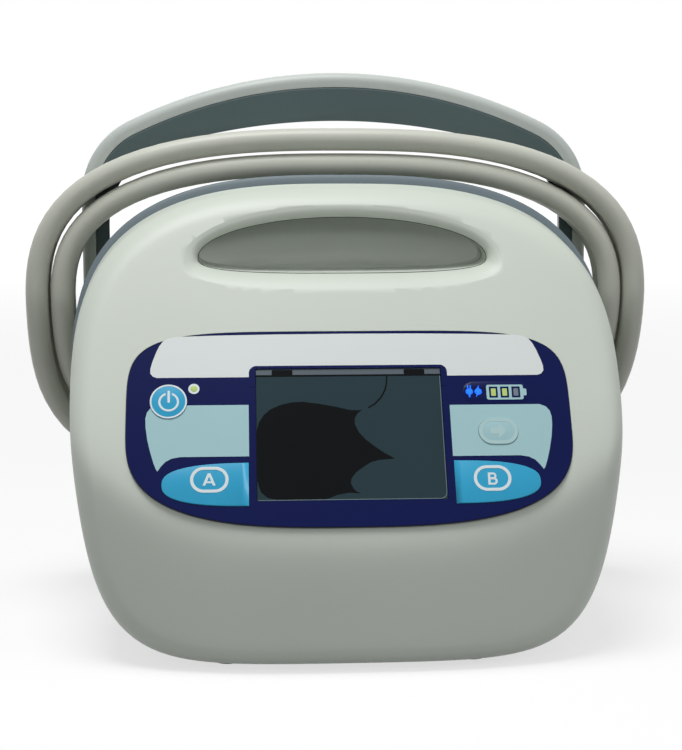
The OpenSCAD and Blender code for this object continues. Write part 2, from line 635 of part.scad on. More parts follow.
// --- hook: an arch of tangent arcs with two arms, swinging on pins in the housing sides
module arch_2d(half_w, top, r, corner) {
    mid_z = top - r;
    rise = sqrt(pow(r - corner, 2) - pow(half_w - corner, 2));
    corner_z = mid_z + rise;
    k = r / rise * 1.5;
    translate([-half_w, pivot_z - 20]) square([2 * half_w, corner_z - pivot_z + 20]);
    for (s = [-1, 1]) translate([s * (half_w - corner), corner_z]) circle(corner, $fn = 96);
    intersection() {
        translate([0, mid_z]) circle(r, $fn = 180);
        polygon([[0, mid_z], [(half_w - corner) * k, mid_z + rise * k], [-(half_w - corner) * k, mid_z + rise * k]]);
    }
}
module arch_solid(y, d) { translate([0, y + d, 0]) rotate([90, 0, 0]) linear_extrude(d) children(); }
module hook() color(light_grey_c) difference() {
    intersection() {
        union() {
            arch_solid(hook_y, hook_depth) difference() {
                arch_2d(hook_half_w, hook_top, crown_r, shoulder_r);
                arch_2d(hook_half_w - arm_w, inner_top, inner_r, inner_shoulder_r);
            }
            for (s = [-1, 1]) translate([s * (hook_half_w - arm_w / 2), pivot_y, pivot_z]) rotate([0, 90, 0]) cylinder(arm_w, d = 16, center = true, $fn = 48);
        }
        union() {
            translate([-120, 0, pivot_z]) cube([240, 100, 120]);
            translate([0, pivot_y, pivot_z]) rotate([0, 90, 0]) cylinder(240, d = 16, center = true, $fn = 48);
        }
    }
    // pocket for the pad
    arch_solid(hook_y - 1, pad_t + 1) difference() {
        arch_2d(hook_half_w - lip_t, hook_top - lip_t, crown_r - lip_t, shoulder_r - lip_t);
        translate([-120, pivot_z - 30]) square([240, 50]);
    }
    for (s = [-1, 1]) translate([s * hook_half_w, pivot_y, pivot_z]) rotate([0, 90, 0]) cylinder(30, d = pin_d + 2 * pin_gap, center = true, $fn = 48);
}
module hook_pad() color(dark_c) arch_solid(hook_y - 0.2, pad_t + 0.15) difference() {
    arch_2d(hook_half_w - lip_t - 0.1, hook_top - lip_t - 0.1, crown_r - lip_t - 0.1, shoulder_r - lip_t - 0.1);
    arch_2d(hook_half_w - arm_w, inner_top, inner_r, inner_shoulder_r);
    translate([-120, pivot_z - 30]) square([240, 50.1]);
}
module hook_pins() color(metal_c) for (s = [-1, 1]) scale_x(s) translate([0, pivot_y, pivot_z]) rotate([0, 90, 0]) {
    translate([0, 0, rear_half_w - 8]) cylinder(hook_half_w - rear_half_w + 8, d = pin_d, $fn = 48);
    translate([0, 0, hook_half_w + 0.3]) cylinder(1.2, d = 11, $fn = 48);
    translate([0, 0, hook_half_w - 0.1]) cylinder(0.6, d = pin_d, $fn = 48);
}
module scale_x(s) { if (s > 0) children(); else mirror([1, 0, 0]) children(); }
module hook_washers() color(black_c) for (s = [-1, 1]) scale_x(s) translate([rear_half_w + 0.05, pivot_y, pivot_z]) rotate([0, 90, 0]) difference() {
    cylinder(hook_half_w - arm_w - rear_half_w - 0.35, d = 14, $fn = 48);
    translate([0, 0, -1]) cylinder(9, d = pin_d + 2 * play, $fn = 48);
}

// --- cord: one tube swept along a line of points, with flat ends
function unit(v) = v / norm(v);
function tangents(p) = [for (i = [0:len(p) - 1])
    unit((i == 0 ? unit(p[1] - p[0]) : unit(p[i] - p[i - 1])) + (i == len(p) - 1 ? unit(p[i] - p[i - 1]) : unit(p[i + 1] - p[i])))];
// carries one side vector along the line, so the tube never twists
function carried(p, t, i = 0, v = undef) =
    let (w = i == 0 ? unit(cross(t[0], abs(t[0][2]) > 0.8 ? [1, 0, 0] : [0, 0, 1])) : unit(v - t[i] * (v * t[i])))
    i == len(p) - 1 ? [w] : concat([w], carried(p, t, i + 1, w));
module sweep(p, r, sides) {
    t = tangents(p);
    s = carried(p, t);
    pts = [for (i = [0:len(p) - 1]) for (a = spin(sides)) p[i] + r * (cos(a) * s[i] + sin(a) * cross(t[i], s[i]))];
    m = len(p);
    polyhedron(pts, concat(
        [for (i = [0:m - 2]) for (j = [0:sides - 1]) let (a = i * sides + j, b = i * sides + (j + 1) % sides)
            each [[a, a + sides, b + sides], [a, b + sides, b]]],
        [[for (j = [0:sides - 1]) j], [for (j = [sides - 1:-1:0]) (m - 1) * sides + j]]));
}
// winding: four turns side by side in a square bundle; near the back each turn steps to the next place
wind_a = 103.5;
wind_up = 51.6;
wind_down = 62;
wind_z = 116;
wind_y = 34;
wind_back = 33.8;
wind_from = 0.13;
wind_to = 3.85;
wind_rings = 26;
step_len = 0.098;
step_at = [1.035, 1.969, 2.834];
function ease(t) = let (c = max(0, min(1, t))) c * c * (3 - 2 * c);
function stepped(v, k) = ease((v - step_at[k]) / step_len);
function wind_pt(v) =
    let (a = -90 + 360 * v, up = sin(a) >= 0, r = polar(a, up ? 2.7 : 3.4),
        o = (1 - stepped(v, 0) + stepped(v, 2)) * turn_pitch, s = stepped(v, 1) * turn_pitch,
        t = max(0, min(1, (asin(-sin(a)) + 4.6) / 65.4)), bump = 4 * t * (1 - t))
    [(wind_a + o) * cos(a) * r, wind_y + wind_back * ease(t) + s * (1 + 0.145 * bump),
        wind_z + ((up ? wind_up : wind_down) + o) * sin(a) * r + s * 0.2 * bump];
wind_count = round((wind_to - wind_from) * wind_rings);
wind_pts = [for (i = [0:wind_count]) wind_pt(wind_from + (wind_to - wind_from) * i / wind_count)];
wind_gap = min([for (i = [0:wind_count]) for (j = [0:wind_count - 1]) if (abs(i - j) > 11)
    let (a = wind_pts[i], b = wind_pts[j], e = wind_pts[j + 1] - b, h = max(0, min(1, (a - b) * e / (e * e))))
    norm(a - b - e * h)]) - cord_d;
function path_len(p, i = 0) = i >= len(p) - 1 ? 0 : norm(p[i + 1] - p[i]) + path_len(p, i + 1);
module cord_winding() color(cord_c) sweep(wind_pts, cord_d / 2, 6);

// free stretches: from the elbow on the back up to the first turn, and from the last turn down to the plug
function bend(p, dp, q, dq, n) = [for (i = [0:n]) let (t = i / n)
    p * (1 + 2 * t) * pow(1 - t, 2) + dp * t * pow(1 - t, 2) + q * t * t * (3 - 2 * t) + dq * t * t * (t - 1)];
inlet_out = back_y + 13;
elbow_r = 9;
relief_l = 24;
lead_start = [inlet_x + elbow_r + relief_l, inlet_out, inlet_z];
lead_end = wind_pts[0];
lead_dir = unit(wind_pts[1] - wind_pts[0]);
lead_pts = concat([lead_start + [-8, 0, 0]], bend(lead_start, [40, 0, 0], lead_end - lead_dir * 8.5, lead_dir * 50, 8), [lead_end - lead_dir * play]);
plug_at = [-26, back_y + 46, 14.5];
tail_start = wind_pts[wind_count];
tail_dir = unit(wind_pts[wind_count] - wind_pts[wind_count - 1]);
tail_pts = concat([tail_start + tail_dir * play], bend(tail_start + tail_dir * 8.5, tail_dir * 70, plug_at + [-8.5, 0, 0], [80, 0, 0], 12), [plug_at + [4, 0, 0]]);
module cord_lead() color(cord_c) sweep(lead_pts, cord_d / 2, 8);
module cord_tail() color(cord_c) sweep(tail_pts, cord_d / 2, 8);
echo(winding_gap_mm = wind_gap, winding_mm = path_len(wind_pts), lead_mm = path_len(lead_pts), tail_mm = path_len(tail_pts));
module strain_relief() color(dark_c) {
    from_back(inlet_x, back_y + 2, inlet_z) cylinder(2.9, d = 16, $fn = 40);
    from_back(inlet_x, inlet_out - elbow_r, inlet_z) cylinder(12.5, d = 12, $fn = 40);
    // moulded quarter turn, then a tapered sleeve round the cord
    translate([inlet_x + elbow_r, inlet_out - elbow_r, inlet_z]) rotate([0, 0, 90]) rotate_extrude(angle = 90, $fn = 48)
        translate([elbow_r, 0]) circle(d = 12, $fn = 40);
    translate([inlet_x + elbow_r, inlet_out, inlet_z]) rotate([0, 90, 0]) difference() {
        cylinder(relief_l, d1 = 12, d2 = cord_d + 1.4, $fn = 40);
        translate([0, 0, relief_l - 8]) cylinder(9, d = cord_d + 0.1, $fn = 40);
    }
}
module plug_body() color(grey_c) translate(plug_at) rotate([0, 90, 0]) difference() {
    union() {
        cylinder(16, d1 = 13, d2 = 20, $fn = 48);
        translate([0, 0, 15.9]) cylinder(20, d = 28, $fn = 48);
        translate([0, 0, 35.8]) cylinder(3, d = 25, $fn = 48);
    }
    translate([0, 0, -1]) cylinder(5.05, d = cord_d + 0.1, $fn = 40);
    for (k = [0:2]) translate([0, 0, 19 + k * 5]) difference() {
        cylinder(2, d = 30, $fn = 48);
        translate([0, 0, -1]) cylinder(4, d = 26.4, $fn = 48);
    }
}
module plug_blades() color(metal_c) translate(plug_at + [38.85, 0, 0]) {
    for (s = [-1, 1]) translate([0, s * 6.35 - 0.75, -1.2]) cube([16, 1.5, 6.3]);
    translate([0, 0, -8.5]) rotate([0, 90, 0]) cylinder(18, d = 4.8, $fn = 32);
}

front_shell();
grip_band();
rear_housing();
panel_overlay();
display_window();
lcd_module();
power_button();
a_button();
b_button();
next_button();
status_led();
battery_leds();
mains_leds();
key_domes();
ui_board();
main_board();
board_standoffs();
board_screws();
compressor_motor();
compressor_head();
rubber_mounts();
valve_manifold();
solenoid_valves();
pressure_sensor();
air_tube();
power_supply();
supply_screws();
battery_pack();
battery_door();
door_screw();
speaker();
port_a();
port_b();
rubber_feet();
case_screws();
hook();
hook_pad();
hook_pins();
hook_washers();
strain_relief();
cord_lead();
cord_winding();
cord_tail();
plug_body();
plug_blades();
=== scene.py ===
"""Looks of the bedside compression pump: moulded shells, printed key panel, hook and wound lead."""
import json
import math
import bpy
import bmesh
from mathutils import Vector, Matrix


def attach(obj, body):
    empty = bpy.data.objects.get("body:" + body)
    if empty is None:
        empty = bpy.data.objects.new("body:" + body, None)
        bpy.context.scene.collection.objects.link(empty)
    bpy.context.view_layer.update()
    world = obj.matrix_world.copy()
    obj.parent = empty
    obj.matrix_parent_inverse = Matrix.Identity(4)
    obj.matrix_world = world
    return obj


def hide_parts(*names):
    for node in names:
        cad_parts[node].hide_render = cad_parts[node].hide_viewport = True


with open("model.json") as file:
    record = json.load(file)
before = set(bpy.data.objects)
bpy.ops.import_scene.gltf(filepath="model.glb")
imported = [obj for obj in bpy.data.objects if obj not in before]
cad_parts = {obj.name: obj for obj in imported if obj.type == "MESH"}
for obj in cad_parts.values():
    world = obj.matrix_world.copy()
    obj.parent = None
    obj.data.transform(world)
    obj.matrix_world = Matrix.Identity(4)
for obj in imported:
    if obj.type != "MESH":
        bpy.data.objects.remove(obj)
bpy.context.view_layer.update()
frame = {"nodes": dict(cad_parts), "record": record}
MM = 0.001
NODES = frame["nodes"]

# ---------------------------------------------------------------- camera and stage
AZIMUTH, ELEVATION, DISTANCE = math.radians(-3.45), math.radians(8), 600
TARGET = Vector((-1, 0, 93))
back = Vector((math.sin(AZIMUTH) * math.cos(ELEVATION), -math.cos(AZIMUTH) * math.cos(ELEVATION), math.sin(ELEVATION)))
cam_data = bpy.data.cameras.new("camera")
cam_data.lens, cam_data.sensor_width = 80.06, 36
cam_data.clip_start, cam_data.clip_end = 0.01, 20
cam = bpy.data.objects.new("camera", cam_data)
bpy.context.scene.collection.objects.link(cam)
cam.location = (TARGET + back * DISTANCE) * MM
cam.rotation_mode = "QUATERNION"
cam.rotation_quaternion = (-back).to_track_quat("-Z", "Y")
bpy.context.scene.camera = cam
bpy.context.scene.view_settings.view_transform = "Standard"


# ---------------------------------------------------------------- the housing's own curves, as in the part's source
LEAN = math.radians(33)
TAN_LEAN = math.tan(LEAN)
FRONT_Y, CREASE_Z, BACK_Y = -58.0, 46.0, 57.0
WALL, EDGE_R, DRAFT = 2.5, 7.5, 0.8
BODY_W, SHELL_W, SHELL_TOP = 98.0, 96.5, 160.8
WIDE_Z, FLOOR_Z = 90.0, 2.0
PART_Y, PART_TAN = 25.0, math.tan(math.radians(15))
BAND_W, BAND_TOP, BAND_IN = 3.6, 164.0, 7.0
REAR_W, DECK_Z, RIDGE_Z, FLANGE_BACK, BACK_R = 84.0, 130.0, 152.0, 29.4, 7.0
WAIST = ((26, 0), (31, 0), (35.5, 0.14), (39, 0.45), (42, 0.79), (44.3, 0.96), (46.1, 1))


def polar(a, power):
    """Radius of a superellipse of half-axis 1 at angle a."""
    return (abs(math.cos(a)) ** power + abs(math.sin(a)) ** power) ** (-1 / power)


def outline(a, half_w, top, inset=0.0):
    up = math.sin(a) >= 0
    r = polar(a, 2.85 if up else 6.2)
    t = abs(math.sin(a)) * r
    rise = (top - WIDE_Z) if up else (WIDE_Z - FLOOR_Z + 0.3)
    narrow = 1 if up else 1 - 0.123 * t ** 1.6
    return (half_w - inset) * math.cos(a) * r * narrow, WIDE_Z + math.sin(a) * r * (rise - inset)


def lean_y(z):
    return FRONT_Y + (z - CREASE_Z) * TAN_LEAN


def face_y(x, z):
    low = FRONT_Y + 13.3 * (abs(x) / 83.4) ** 3 + (CREASE_Z - z) * math.tan(math.radians(2))
    d = lean_y(z) - low
    return (lean_y(z) + low + math.sqrt(d * d + 25)) / 2


def parting(z):
    return PART_Y - (SHELL_TOP - z) * PART_TAN


def slot_pt(a, grow):
    up = math.sin(a) >= 0
    r = polar(a, 2 if up else 3)
    return (52 + grow) * math.cos(a) * r, 135 + math.sin(a) * r * ((14 if up else 5.6) + grow)


def around(n, shift=0.0):
    return [2 * math.pi * (i + shift) / n for i in range(n)]


# ---------------------------------------------------------------- mesh helpers
def to_object(name, bm, body="housing", material=None, smooth=True, angle=None):
    bmesh.ops.remove_doubles(bm, verts=bm.verts, dist=1e-7)
    mesh = bpy.data.meshes.new(name)
    bm.to_mesh(mesh)
    bm.free()
    obj = bpy.data.objects.new(name, mesh)
    bpy.context.scene.collection.objects.link(obj)
    for p in mesh.polygons:
        p.use_smooth = smooth and len(p.vertices) < 5
    if angle is not None:
        mesh.set_sharp_from_angle(angle=math.radians(angle))
    if material:
        mesh.materials.append(material)
    if body:
        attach(obj, body)
    return obj


def first_ring(bm, pts):
    """A closed ring of points in millimetres."""
    made = bmesh.ops.create_circle(bm, cap_ends=False, segments=len(pts), radius=1)["verts"]
    for v, p in zip(made, pts):
        v.co = Vector(p) * MM
    return made


def next_ring(bm, ring, pts):
    """Extrudes the ring and sets the new points."""
    n = len(ring)
    edges = [bm.edges.get((ring[i], ring[(i + 1) % n])) for i in range(n)]
    geom = bmesh.ops.extrude_edge_only(bm, edges=edges)["geom"]
    fresh = {g for g in geom if isinstance(g, bmesh.types.BMVert)}
    out = []
    for v, p in zip(ring, pts):
        w = next(e.other_vert(v) for e in v.link_edges if e.other_vert(v) in fresh)
        w.co = Vector(p) * MM
        out.append(w)
    return out


def cap(bm, ring):
    n = len(ring)
    bmesh.ops.contextual_create(bm, geom=[bm.edges.get((ring[i], ring[(i + 1) % n])) for i in range(n)])


def loft(bm, rings, close=(True, True)):
    """A skin through rings of points, one extrusion after another."""
    start = ring = first_ring(bm, rings[0])
    for pts in rings[1:]:
        ring = next_ring(bm, ring, pts)
    if close[0]:
        cap(bm, start)
    if close[1]:
        cap(bm, ring)
    bmesh.ops.recalc_face_normals(bm, faces=bm.faces)


def solid(name, rings):
    bm = bmesh.new()
    loft(bm, rings)
    return to_object(name, bm, body=None)


def combine(target, tool, how="DIFFERENCE"):
    """Applies one boolean and throws the tool away."""
    mod = target.modifiers.new("cut", "BOOLEAN")
    mod.operation, mod.object, mod.solver = how, tool, "EXACT"
    dg = bpy.context.evaluated_depsgraph_get()
    mesh = bpy.data.meshes.new_from_object(target.evaluated_get(dg))
    target.modifiers.clear()
    old = target.data
    target.data = mesh
    bpy.data.meshes.remove(old)
    used = tool.data
    bpy.data.objects.remove(tool)
    bpy.data.meshes.remove(used)
    target.data.set_sharp_from_angle(angle=math.radians(35))


def disc(name, centre, axis, r0, r1, length, n=48):
    """A round tool or piece from centre along axis, radii r0 to r1."""
    bm = bmesh.new()
    bmesh.ops.create_cone(bm, cap_ends=True, segments=n, radius1=r0 * MM, radius2=r1 * MM, depth=length * MM)
    turn = Vector((0, 0, 1)).rotation_difference(Vector(axis)).to_matrix().to_4x4()
    bmesh.ops.transform(bm, matrix=Matrix.Translation((Vector(centre) + Vector(axis) * length / 2) * MM) @ turn, verts=bm.verts)
    return to_object(name, bm, body=None)


def block(name, low, high):
    bm = bmesh.new()
    bmesh.ops.create_cube(bm, size=1)
    size, mid = Vector(high) - Vector(low), (Vector(high) + Vector(low)) / 2
    bmesh.ops.transform(bm, matrix=Matrix.Translation(mid * MM) @ Matrix.Diagonal((size * MM).to_4d()), verts=bm.verts)
    return to_object(name, bm, body=None)


# panel coordinates: x across, s up the slope, h out of the face
PANEL = Matrix.Translation((0, FRONT_Y * MM, CREASE_Z * MM)) @ Matrix.Rotation(math.pi / 2 - LEAN, 4, "X")


def plate(name, pts, low, high, material=None, body="housing", round_edge=0.0, tool=False, steps=2):
    """A plate with the outline pts on the panel, between two heights, its outer rim rounded if asked."""
    bm = bmesh.new()
    ring = first_ring(bm, [(x, s, low) for x, s in pts])
    cap(bm, ring)
    top = next_ring(bm, ring, [(x, s, high) for x, s in pts])
    cap(bm, top)
    bmesh.ops.recalc_face_normals(bm, faces=bm.faces)
    if round_edge:
        n = len(top)
        rim = [bm.edges.get((top[i], top[(i + 1) % n])) for i in range(n)]
        bmesh.ops.bevel(bm, geom=rim, offset=round_edge * MM, segments=steps, profile=0.5, affect="EDGES", material=-1)
    bmesh.ops.transform(bm, matrix=PANEL, verts=bm.verts)
    return to_object(name, bm, body=None if tool else body, material=material, angle=None if tool else 35)


def rounded(x0, y0, x1, y1, r, n=8):
    """Corners of a rounded rectangle; r is one radius or four, from the lower left round to the upper left."""
    r = r if isinstance(r, (list, tuple)) else (r,) * 4
    mids = ((x0 + r[0], y0 + r[0], 180, r[0]), (x1 - r[1], y0 + r[1], 270, r[1]), (x1 - r[2], y1 - r[2], 0, r[2]), (x0 + r[3], y1 - r[3], 90, r[3]))
    return [(cx + q * math.cos(math.radians(a + 90 * k / n)), cy + q * math.sin(math.radians(a + 90 * k / n)))
            for cx, cy, a, q in mids for k in range(n + 1)]


def panel_pts(grow=0.0, n=240):
    return [((75.8 + grow) * math.cos(a) * polar(a, 5.2 if math.sin(a) >= 0 else 3),
             41 + (36 + grow) * math.sin(a) * polar(a, 5.2 if math.sin(a) >= 0 else 3)) for a in around(n)]


def side_key(grow=0.0, side=-1, n=40):
    pts = []
    for k in range(n + 1):
        a = math.radians(-90 + 180 * k / n)
        pts.append((side * (34.6 + (29 + grow) * math.cos(a) * polar(a, 2.6)), 20.3 + (7.7 + grow) * math.sin(a) * polar(a, 2.6)))
    pts += [(side * (34.6 - grow), 20.3 + 7.7 + grow), (side * (34.6 - grow), 20.3 - 7.7 - grow)]
    return pts


def next_key(grow=0.0):
    return rounded(50.5 - 6.8 - grow, 38.6 - 4.9 - grow, 50.5 + 6.8 + grow, 38.6 + 4.9 + grow, 4.9 + grow, 12)


def circle(cx, cy, r, n=48):
    return [(cx + r * math.cos(a), cy + r * math.sin(a)) for a in around(n)]


# ---------------------------------------------------------------- materials
def node_material(name):
    m = bpy.data.materials.new(name)
    m.use_nodes = True
    return m, m.node_tree, m.node_tree.nodes["Principled BSDF"]


def link(tree, a, b):
    tree.links.new(a, b)


def moulded(name, colour, rough=0.45, grain=900, depth=0.06, mottle=0.05, coat=0.0, metal=0.0, gloss_level=0.4, large=18):
    """Moulded plastic or rubber: fine grain in the bump, slow mottling in the colour, a little wear in the gloss."""
    m, t, p = node_material(name)
    p.inputs["Metallic"].default_value = metal
    p.inputs["Coat Weight"].default_value = coat
    p.inputs["Coat Roughness"].default_value = 0.12
    p.inputs["Specular IOR Level"].default_value = gloss_level
    where = t.nodes.new("ShaderNodeTexCoord")
    slow = t.nodes.new("ShaderNodeTexNoise")
    slow.inputs["Scale"].default_value = large
    slow.inputs["Detail"].default_value = 4
    link(t, where.outputs["Object"], slow.inputs["Vector"])
    ramp = t.nodes.new("ShaderNodeValToRGB")
    ramp.color_ramp.elements[0].position, ramp.color_ramp.elements[1].position = 0.3, 0.7
    ramp.color_ramp.elements[0].color = tuple(c * (1 - mottle) for c in colour) + (1,)
    ramp.color_ramp.elements[1].color = tuple(min(1, c * (1 + mottle)) for c in colour) + (1,)
    link(t, slow.outputs["Fac"], ramp.inputs["Fac"])
    link(t, ramp.outputs["Color"], p.inputs["Base Color"])
    gloss = t.nodes.new("ShaderNodeMapRange")
    gloss.inputs["To Min"].default_value, gloss.inputs["To Max"].default_value = rough - 0.05, rough + 0.06
    link(t, slow.outputs["Fac"], gloss.inputs["Value"])
    link(t, gloss.outputs["Result"], p.inputs["Roughness"])
    fine = t.nodes.new("ShaderNodeTexNoise")
    fine.inputs["Scale"].default_value = grain
    fine.inputs["Detail"].default_value = 2
    link(t, where.outputs["Object"], fine.inputs["Vector"])
    bump = t.nodes.new("ShaderNodeBump")
    bump.inputs["Strength"].default_value = depth
    bump.inputs["Distance"].default_value = 0.0003
    link(t, fine.outputs["Fac"], bump.inputs["Height"])
    link(t, bump.outputs["Normal"], p.inputs["Normal"])
    return m


def glowing(name, colour, strength, rough=0.35):
    m = moulded(name, colour, rough, depth=0.01, mottle=0.04)
    p = m.node_tree.nodes["Principled BSDF"]
    p.inputs["Emission Color"].default_value = (*colour, 1)
    p.inputs["Emission Strength"].default_value = strength
    return m


def shade(*rgb):
    """A colour measured on a screen, 0 to 255, as the renderer wants it."""
    return tuple((c / 255) ** 2.2 for c in rgb)


FINISH = {
    "white_housing": moulded("white_housing", shade(207, 214, 203), 0.42, 700, 0.05, 0.02),
    "grey_band": moulded("grey_band", shade(105, 118, 124), 0.5, 1200, 0.1, 0.05),
    "navy_overlay": moulded("navy_overlay", shade(8, 24, 78), 0.26, 2200, 0.02, 0.04, gloss_level=0.12),
    "display_glass": moulded("display_glass", shade(46, 64, 70), 0.2, 2000, 0.0, 0.05, gloss_level=0.1),
    "lcd_frame": moulded("lcd_frame", shade(70, 75, 80), 0.5),
    "blue_key": moulded("blue_key", shade(56, 165, 208), 0.32, 2200, 0.03, 0.03, gloss_level=0.2),
    "pale_key": moulded("pale_key", shade(164, 202, 207), 0.32, 2200, 0.03, 0.02, gloss_level=0.25),
    "led_green": glowing("led_green", shade(178, 200, 112), 0.12),
    "led_blue": glowing("led_blue", shade(16, 104, 255), 0.85),
    "silicone": moulded("silicone", shade(205, 205, 198), 0.6),
    "board": moulded("board", shade(30, 105, 62), 0.4, 500, 0.1, 0.12),
    "steel": moulded("steel", shade(190, 190, 192), 0.3, 1500, 0.08, 0.05, metal=1.0),
    "motor_can": moulded("motor_can", shade(150, 152, 156), 0.4, 900, 0.1, 0.06, metal=0.6),
    "black_plastic": moulded("black_plastic", shade(38, 38, 40), 0.5, 900, 0.12, 0.1),
    "black_rubber": moulded("black_rubber", shade(32, 32, 33), 0.75, 700, 0.2, 0.12),
    "natural_plastic": moulded("natural_plastic", shade(214, 212, 200), 0.5),
    "coil": moulded("coil", shade(60, 78, 115), 0.5, 600, 0.2, 0.1),
    "clear_tube": moulded("clear_tube", shade(205, 212, 214), 0.25, 600, 0.05, 0.05, coat=0.4),
    "battery_wrap": moulded("battery_wrap", shade(50, 85, 150), 0.3, 500, 0.05, 0.06, coat=0.5),
    "light_grey": moulded("light_grey", shade(190, 197, 192), 0.42, 700, 0.06, 0.03),
    "dark_grey": moulded("dark_grey", shade(82, 97, 98), 0.55, 1000, 0.12, 0.06, gloss_level=0.25),
    "cord_grey": moulded("cord_grey", shade(198, 200, 188), 0.4, 500, 0.05, 0.05),
    "plug_grey": moulded("plug_grey", shade(150, 150, 142), 0.5, 700, 0.1, 0.05),
}
label_white = moulded("label_white", shade(222, 228, 226), 0.35, 2200, 0.03, 0.015)
print_pale = moulded("print_pale", shade(166, 204, 209), 0.32, 2200, 0.03, 0.02, gloss_level=0.25)
print_white = moulded("print_white", shade(226, 236, 238), 0.35, 2200, 0.02, 0.02)
SLOT = {s["node"]: s["material_slot"] for s in frame["record"]["subparts"]}
for node_name, obj in NODES.items():
    obj.data.materials.clear()
    obj.data.materials.append(FINISH[SLOT[node_name]])


def stands_for(obj, *nodes, slot=None):
    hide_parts(*nodes)
    if not obj.data.materials:
        obj.data.materials.append(FINISH[slot or SLOT[nodes[0]]])
    return obj


def finished(obj, body, slot_name, material=None, angle=30):
    """Gives a boolean result its body, slot, finish and sharp edges."""
    obj.data.materials.clear()
    obj.data.materials.append(material or FINISH[slot_name])
    for p in obj.data.polygons:
        p.use_smooth = True
    obj.data.set_sharp_from_angle(angle=math.radians(angle))
    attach(obj, body)
    return obj


# ---------------------------------------------------------------- mains lead: elbow, four turns over the band, plug behind
PITCH = 9.3


def ease(t):
    c = max(0, min(1, t))
    return c * c * (3 - 2 * c)


def stepped(v, k):
    return ease((v - (1.035, 1.969, 2.834)[k]) / 0.098)


def wind_pt(v):
    a = math.radians(360 * v - 90)
    up = math.sin(a) >= 0
    r = polar(a, 2.7 if up else 3.4)
    out, behind = (1 - stepped(v, 0) + stepped(v, 2)) * PITCH, stepped(v, 1) * PITCH
    t = max(0, min(1, (math.degrees(math.asin(-math.sin(a))) + 4.6) / 65.4))
    hump = 4 * t * (1 - t)
    return Vector(((103.5 + out) * math.cos(a) * r, 34 + 33.8 * ease(t) + behind * (1 + 0.145 * hump),
                   116 + ((51.6 if up else 62) + out) * math.sin(a) * r + behind * 0.2 * hump))


def bend(p, dp, q, dq, n):
    return [p * (1 + 2 * t) * (1 - t) ** 2 + dp * t * (1 - t) ** 2 + q * t * t * (3 - 2 * t) + dq * t * t * (t - 1)
            for t in (i / n for i in range(n + 1))]


turns = [wind_pt(0.13 + 3.72 * i / 372) for i in range(373)]
lead_dir, tail_dir = (turns[1] - turns[0]).normalized(), (turns[-1] - turns[-2]).normalized()
lead_start, plug_at = Vector((25, 70, 20)), Vector((-26, 103, 14.5))
cord_path = ([lead_start - Vector((8, 0, 0))] + bend(lead_start, Vector((40, 0, 0)), turns[0] - lead_dir * 8.5, lead_dir * 50, 24)
             + turns + bend(turns[-1] + tail_dir * 8.5, tail_dir * 70, plug_at - Vector((8.5, 0, 0)), Vector((80, 0, 0)), 30)
             + [plug_at + Vector((4, 0, 0))])
lead_curve = bpy.data.curves.new("mains_lead", "CURVE")
lead_curve.dimensions, lead_curve.bevel_depth, lead_curve.bevel_resolution, lead_curve.use_fill_caps = "3D", 4.2 * MM, 5, True
spline = lead_curve.splines.new("POLY")
spline.points.add(len(cord_path) - 1)
for point, place in zip(spline.points, cord_path):
    point.co = (*(place * MM), 1)
spline.use_smooth = True
mains_lead = bpy.data.objects.new("mains_lead", lead_curve)
bpy.context.scene.collection.objects.link(mains_lead)
lead_curve.materials.append(FINISH["cord_grey"])
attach(mains_lead, "housing")
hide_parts("cord_lead", "cord_winding", "cord_tail")

# ---------------------------------------------------------------- front shell
N_OUT = 224


def skin(deep, inset, r, phi, n):
    pts = []
    for a in around(n):
        x, z = outline(a, SHELL_W - DRAFT, SHELL_TOP - DRAFT, inset + r * (1 - math.cos(phi)))
        pts.append((x, face_y(x, z) + deep + r * (1 - math.sin(phi)), z))
    return pts


def face(deep, inset, s, n):
    pts = []
    for a in around(n):
        x, z = outline(a, SHELL_W - DRAFT, SHELL_TOP - DRAFT, inset)
        x, z = x * s, WIDE_Z + (z - WIDE_Z) * s
        pts.append((x, face_y(x, z) + deep, z))
    return pts


def flat(half_w, top, inset, y, n):
    return [(x, y, z) for x, z in (outline(a, half_w, top, inset) for a in around(n))]


def joint_ring(half_w, top, inset, shift, n):
    return [(x, parting(z) + shift, z) for x, z in (outline(a, half_w, top, inset) for a in around(n))]


def front_mass(deep, inset, r, n, back_shift, turns, faces):
    return ([joint_ring(SHELL_W, SHELL_TOP, inset, back_shift, n)]
            + [skin(deep, inset, r, math.pi / 2 * k / turns, n) for k in range(turns + 1)]
            + [face(deep, inset + r, s, n) for s in faces])


shell = solid("front_shell_skin", front_mass(0, 0, EDGE_R, N_OUT, -0.1, 10, [1 - 0.036 * k for k in range(1, 27)] + [0.02]))
inner = solid("tool", front_mass(WALL / math.cos(LEAN), WALL, EDGE_R - WALL, 96, 20, 4, [1 - 0.09 * k for k in range(1, 11)] + [0.02]))
combine(shell, inner)


def slot_ring(grow, deep, n=120):
    return [(x, lean_y(z) + deep, z) for x, z in (slot_pt(a, grow) for a in around(n))]


def slot_flat(grow, y, n=120):
    return [(x, y, z) for x, z in (slot_pt(a, grow) for a in around(n))]


